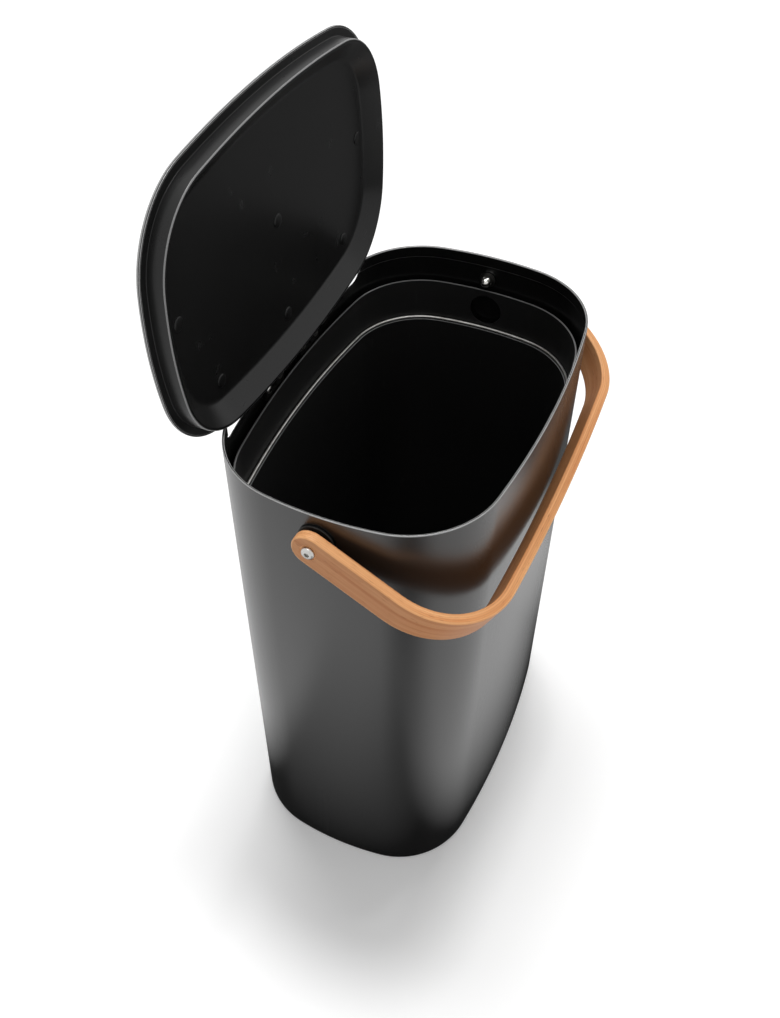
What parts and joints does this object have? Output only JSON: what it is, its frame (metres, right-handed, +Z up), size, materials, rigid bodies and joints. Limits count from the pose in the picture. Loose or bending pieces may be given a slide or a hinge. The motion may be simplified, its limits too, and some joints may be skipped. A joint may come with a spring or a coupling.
{
  "type": "recycling bin",
  "caption": "Upright bin with a rounded rectangular steel sleeve, hinged lid held open at the back, lift-out bucket with bag ring, and a bent-wood carrying handle.",
  "frame": {"origin": "centre of the underside, on the floor", "axes": "+Z up, -Y to the front where the handle hangs, +Y to the lid's hinge, X along the handle's pivots; the bin is the same left and right"},
  "size_m": [0.3154, 0.2142, 0.5761],
  "materials": {
    "powder_coat": "fine satin powder coat, near black",
    "dark_plastic": "matt moulded plastic, near black",
    "bright_steel": "plain bright steel",
    "nut_steel": "polished plated steel",
    "bent_wood": "oiled steam-bent wood with straight grain",
    "bush_plastic": "smooth black nylon"
  },
  "bodies": {
    "bin": {"outer_body": "powder_coat", "base_plate": "dark_plastic", "hinge_bracket_right": "bright_steel", "hinge_bracket_left": "bright_steel", "bracket_rivets": "bright_steel", "pivot_screws": "nut_steel", "pivot_washers": "bright_steel", "inner_washers": "bright_steel", "acorn_nuts": "nut_steel"},
    "lid": {"lid_cover": "powder_coat", "lid_liner": "dark_plastic", "lid_clips": "dark_plastic", "hinge_pin_right": "bright_steel", "hinge_pin_left": "bright_steel"},
    "handle": {"handle_strip": "bent_wood", "handle_bushes": "bush_plastic"},
    "bucket": {"inner_bucket": "dark_plastic"},
    "ring": {"bag_ring": "bright_steel"}
  },
  "joints": [
    {"name": "lid_hinge", "type": "hinge", "parent": "bin", "child": "lid", "pos_m": [0, 0.0868, 0.39445], "axis": [1, 0, 0], "range_deg": [0, 92]},
    {"name": "handle_swing", "type": "hinge", "parent": "bin", "child": "handle", "pos_m": [0, 0.0015, 0.38], "axis": [-1, 0, 0], "range_deg": [0, 145]},
    {"name": "bucket_lift", "type": "slide", "parent": "bin", "child": "bucket", "axis": [0, 0, 1], "range_m": [0, 0.0023]},
    {"name": "ring_lift", "type": "slide", "parent": "bucket", "child": "ring", "axis": [0, 0, 1], "range_m": [0, 0.028]}
  ]
}
